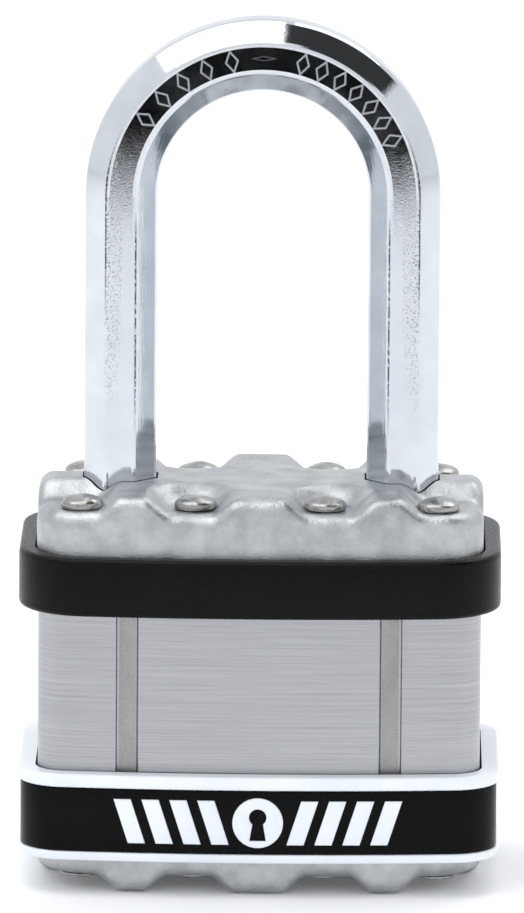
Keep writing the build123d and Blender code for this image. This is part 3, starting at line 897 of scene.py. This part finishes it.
shackleLook = {
    "barCorner": 0.35 * mm,
    "cornerSteps": 3,
    "archSteps": 96,
    "toeEnd": shackleLow.z + 15 * mm,  # the short leg stops here
    "toeTip": 1.2 * mm,
    "toeShrink": 0.77,
    "heelTop": 26.5 * mm,   # below this the long leg is turned round
    "heelRound": 3.5 * mm,
    "heelChamfer": 0.9 * mm,
    "ringMiddle": 18.0 * mm,  # the ring groove that keeps the long leg captive
    "ringSteps": 12,
    "notchZ": 31.5 * mm,
    "notchX": 8.6 * mm,
    "notchRadius": 3.375 * mm,
    "notchSteps": (48, 32),
    "leftMarks": [146, 135.2, 124.5, 113.8, 103],   # degrees up from the right
    "rightMarks": [74, 65.8, 57.6, 49.5, 41.3, 33.2, 25],
    "dash": 90,
    "lozenge": (0.6, 1.02),   # half width and half height, in millimetres
    "dashSize": (1.1, 0.22),
    "markDeep": 0.2 * mm,
    "markStroke": 0.36,       # half width of the groove, as a share of the mark
    "markReach": 1.3 * mm,    # the marks stay within this of the bar's centre line
    "markSkin": 0.003 * mm,   # a mark's walls lie deeper than this
}


def stampMarks():
    # generic stamped marks: outlined lozenges and a dash, as V grooves in the front of the bow
    bm = bmesh.new()
    deep, stroke = shackleLook["markDeep"], shackleLook["markStroke"]
    places = shackleLook["leftMarks"] + shackleLook["rightMarks"]
    sizes = [(angle, *shackleLook["lozenge"]) for angle in places]
    for angle, wide, tall in sizes + [(shackleLook["dash"], *shackleLook["dashSize"])]:
        # a triangle one unit out, spun round in four steps, is a lozenge
        corners = [bm.verts.new(p) for p in ((1 - stroke, 0, deep), (1 + stroke, 0, deep), (1, 0, -deep))]
        section = corners + [bm.edges.new(pair) for pair in zip(corners, corners[1:] + corners[:1])]
        bmesh.ops.spin(
            bm, geom=section, cent=(0, 0, 0), axis=(0, 0, 1), dvec=(0, 0, 0),
            angle=2 * math.pi, steps=4, use_merge=True,
        )
        fresh = [v for v in bm.verts if v.co.length > 0.5]  # the marks made before are millimetres in size
        bmesh.ops.scale(bm, vec=(wide * mm, tall * mm, 1), verts=fresh)
        bmesh.ops.rotate(bm, cent=(0, 0, 0), matrix=Matrix.Rotation(math.pi / 2, 3, "X"), verts=fresh)
        bmesh.ops.translate(bm, vec=(0, -barFlats / 2, legX), verts=fresh)
        turn = Matrix.Rotation(math.radians(90 - angle), 3, "Y")
        bmesh.ops.rotate(bm, cent=(0, 0, 0), matrix=turn, verts=fresh)
        bmesh.ops.translate(bm, vec=(0, 0, archZ), verts=fresh)
    return bm


def buildShackle():
    bm = bmesh.new()
    tipTop = shackleLook["toeEnd"] + shackleLook["toeTip"]
    place = Matrix.Translation((-legX, 0, tipTop)) @ Matrix.Rotation(math.pi / 8, 4, "Z")
    made = bmesh.ops.create_circle(
        bm, cap_ends=True, segments=8, radius=barFlats / 2 / math.cos(math.pi / 8), matrix=place,
    )
    bmesh.ops.bevel(
        bm, geom=made["verts"], offset=shackleLook["barCorner"], segments=shackleLook["cornerSteps"],
        profile=0.5, affect="VERTICES", material=-1,
    )
    bmesh.ops.delete(bm, geom=list(bm.faces), context="FACES_ONLY")
    ring = list(bm.edges)
    tip = pull(bm, ring, (0, 0, -shackleLook["toeTip"]))
    shrink = shackleLook["toeShrink"]
    bmesh.ops.scale(bm, vec=(shrink, shrink, 1), space=Matrix.Translation((legX, 0, 0)), verts=tip)
    bmesh.ops.edgeloop_fill(bm, edges=loopOf(bm, tip))
    top = pull(bm, ring, (0, 0, archZ - tipTop))
    spun = bmesh.ops.spin(
        bm, geom=top + loopOf(bm, top), cent=(0, 0, archZ), axis=(0, 1, 0), dvec=(0, 0, 0),
        angle=math.pi, steps=shackleLook["archSteps"], use_merge=False,
    )
    last = [g for g in spun["geom_last"] if isinstance(g, bmesh.types.BMVert)]
    ring = pull(bm, loopOf(bm, last), (0, 0, shackleLook["heelTop"] - archZ))
    # the turned heel with its ring groove, as steps of radius and height
    steps = [(shackleLook["heelRound"], shackleLook["heelTop"])]
    reach = legX - shackleLook["notchX"]
    half = math.degrees(math.acos((reach - shackleLook["heelRound"]) / shackleLook["notchRadius"]))
    for index in range(shackleLook["ringSteps"] + 1):
        angle = math.radians(half * (1 - 2 * index / shackleLook["ringSteps"]))
        radius = reach - shackleLook["notchRadius"] * math.cos(angle)
        steps.append((radius, shackleLook["ringMiddle"] + shackleLook["notchRadius"] * math.sin(angle)))
    steps.append((shackleLook["heelRound"], shackleLow.z + shackleLook["heelChamfer"]))
    steps.append((shackleLook["heelRound"] - shackleLook["heelChamfer"], shackleLow.z))
    for radius, height in steps:
        ring = pull(bm, loopOf(bm, ring))
        for v in ring:
            out = Vector((v.co.x - legX, v.co.y, 0)).normalized() * radius
            v.co = (legX + out.x, out.y, height)
    bmesh.ops.edgeloop_fill(bm, edges=loopOf(bm, ring))
    notches = bmesh.new()
    around, upwards = shackleLook["notchSteps"]
    for side in (-1, 1):
        bmesh.ops.create_uvsphere(
            notches, u_segments=around, v_segments=upwards, radius=shackleLook["notchRadius"],
            matrix=Matrix.Translation((side * shackleLook["notchX"], 0, shackleLook["notchZ"])),
        )
    carved = carve(bm, [notches, stampMarks()])
    for face in carved.faces:
        middle = face.calc_center_median()
        deep = middle.y + barFlats / 2
        offLine = abs(math.hypot(middle.x, middle.z - archZ) - legX)
        sunken = shackleLook["markSkin"] < deep < shackleLook["markDeep"]
        if middle.z > archZ and sunken and offLine < shackleLook["markReach"]:
            face.material_index = 1  # the walls of the stamped marks
    metals = [finish["chromePlatedSteel"], finish["stampedChrome"]]
    newPiece("shackleBow", carved, metals, "shackle", "shackle", 9)


buildShackle()
print("shackle made")


# the finish of each CAD node, by how its name begins: the longest beginning that fits counts
insideFinish = {
    "lamination": "oiledSteelPlate",
    "cylinder_": "turnedBrass",
    "chamber_cap": "turnedBrass",
    "key_pin": "turnedBrass",
    "driver_pin": "turnedBrass",
    "pin_spring": "groundHardSteel",
    "plug_retainer": "groundHardSteel",
    "rotor": "groundHardSteel",
    "toe_ball": "groundHardSteel",
    "heel_ball": "groundHardSteel",
    "shackle_spring": "groundHardSteel",
    "case_sleeve": "brushedStainlessSheet",
    "top_cap": "tumbledStainlessSheet",
    "bottom_cap": "tumbledStainlessSheet",
    "rivets": "coldHeadedSteel",
    "shackle": "chromePlatedSteel",
    "upper_bumper": "mouldedBlackRubber",
    "lower_band_carrier": "glossWhiteAbs",
    "lower_band_inlay": "glossBlackAbs",
}
for name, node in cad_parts.items():
    fitting = max((key for key in insideFinish if name.startswith(key)), key=len)
    for place in node.material_slots:
        place.material = finish[insideFinish[fitting]]
print("inside parts dressed")


studio = {
    # half width, half depth and middle of each flat sheet, in metres, and its finish
    "sheets": {
        "studioFloor": (2.5, 2.5, (0, 0, -0.02 * mm), "paleStudioFloor"),
        "darkFlag": (0.6, 0.22, (0, -0.615, 2 * mm), "darkFlagCloth"),
    },
    "skyColour": "#F7F9FD",
    "skyStrength": 1.06,
    # name: place, size and radiance of each lamp overhead, which all point straight down
    "softboxes": {
        "overheadLeft": ((-0.28, -0.1, 0.75), (0.74, 0.6), 1.6),
        "overheadRight": ((0.34, 0.3, 0.6), (0.46, 0.46), 1.7),
    },
    "gapWay": (0.53, -0.15, 0.85),   # the dark gap in the tent that gives the bow its black streaks
    "gapEdges": (0.905, 0.925),
    "gapLight": 0.05,
    "cameraDistance": 1.2,
    "cameraHeight": math.radians(11),   # above level
    "cameraTurn": math.radians(0.5),
    "cameraRoll": math.radians(0.4),
    "cameraClip": (0.05, 20),
    "sensor": 36,             # in millimetres, as the lens is
    "aim": (0.05 * mm, 0, 41.7 * mm),
    "viewHeight": 90.4 * mm,
}


def buildRoom():
    for name, (wide, deep, place, material) in studio["sheets"].items():
        bm = bmesh.new()
        bmesh.ops.create_grid(bm, x_segments=1, y_segments=1, size=1)
        bmesh.ops.scale(bm, vec=(wide, deep, 1), verts=bm.verts)
        bmesh.ops.translate(bm, vec=place, verts=bm.verts)
        mesh = bpy.data.meshes.new(name)
        bm.to_mesh(mesh)
        bm.free()
        mesh.materials.append(finish[material])
        sheet = bpy.data.objects.new(name, mesh)
        bpy.context.scene.collection.objects.link(sheet)
        if name == "darkFlag":  # a card in front that only the reflections see
            sheet.visible_camera = sheet.visible_diffuse = sheet.visible_shadow = False


def buildLight():
    world = bpy.data.worlds.new("softStudio")
    bpy.context.scene.world = world
    world.use_nodes = True
    tree = world.node_tree
    tree.nodes.clear()
    toward = addNode(tree, "ShaderNodeTexCoord").outputs["Generated"]
    way = Vector(studio["gapWay"]).normalized()
    aim = addNode(tree, "ShaderNodeVectorMath", {"operation": "DOT_PRODUCT", 1: way}, {0: toward})
    begin, end = studio["gapEdges"]
    strength = addNode(
        tree, "ShaderNodeMapRange",
        {"From Min": begin, "From Max": end, "To Min": studio["skyStrength"],
         "To Max": studio["skyStrength"] * studio["gapLight"]},
        {"Value": aim.outputs["Value"]},
    )
    sky = addNode(
        tree, "ShaderNodeBackground", {"Color": hexColour(studio["skyColour"])},
        {"Strength": strength.outputs["Result"]},
    )
    addNode(tree, "ShaderNodeOutputWorld", links={"Surface": sky.outputs["Background"]})
    for name, (place, size, radiance) in studio["softboxes"].items():
        data = bpy.data.lights.new(name, "AREA")
        data.shape = "RECTANGLE"
        data.size, data.size_y = size
        data.energy = radiance * math.pi * size[0] * size[1]
        lamp = bpy.data.objects.new(name, data)
        lamp.location = place
        bpy.context.scene.collection.objects.link(lamp)


def buildCamera():
    data = bpy.data.cameras.new("camera")
    data.sensor_width = studio["sensor"]
    data.lens = studio["sensor"] * studio["cameraDistance"] / studio["viewHeight"]
    data.clip_start, data.clip_end = studio["cameraClip"]
    camera = bpy.data.objects.new("camera", data)
    aim = Vector(studio["aim"])
    up, side = studio["cameraHeight"], studio["cameraTurn"]
    away = Vector((math.sin(side) * math.cos(up), -math.cos(side) * math.cos(up), math.sin(up)))
    turn = (-away).to_track_quat("-Z", "Y").to_matrix().to_4x4()
    roll = Matrix.Rotation(studio["cameraRoll"], 4, "Z")
    camera.matrix_world = Matrix.Translation(aim + away * studio["cameraDistance"]) @ turn @ roll
    bpy.context.scene.collection.objects.link(camera)
    bpy.context.scene.camera = camera
    bpy.context.scene.view_settings.view_transform = "Standard"
    bpy.context.scene.view_settings.look = "None"


buildRoom()
buildLight()
buildCamera()
print("room, light and camera set")
